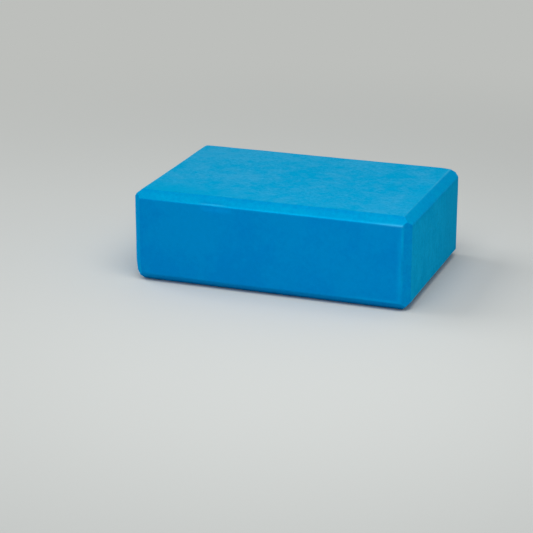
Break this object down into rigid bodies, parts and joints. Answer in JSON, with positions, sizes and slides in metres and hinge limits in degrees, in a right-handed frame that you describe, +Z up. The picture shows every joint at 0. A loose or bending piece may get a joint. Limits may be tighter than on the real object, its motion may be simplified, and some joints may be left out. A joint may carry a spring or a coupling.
{
  "type": "foam block",
  "caption": "Rectangular exercise block of closed-cell foam, with a flat bevel along every edge and mitred corners.",
  "frame": {"origin": "centre of the underside, on the surface that the block rests on", "axes": "+X along the length, +Y along the width, +Z up through the height"},
  "size_m": [0.2286, 0.1524, 0.075],
  "materials": {
    "foam": "matt blue closed-cell foam with a fine even cell grain"
  },
  "bodies": {
    "root": {"foam_block": "foam"}
  },
  "joints": []
}
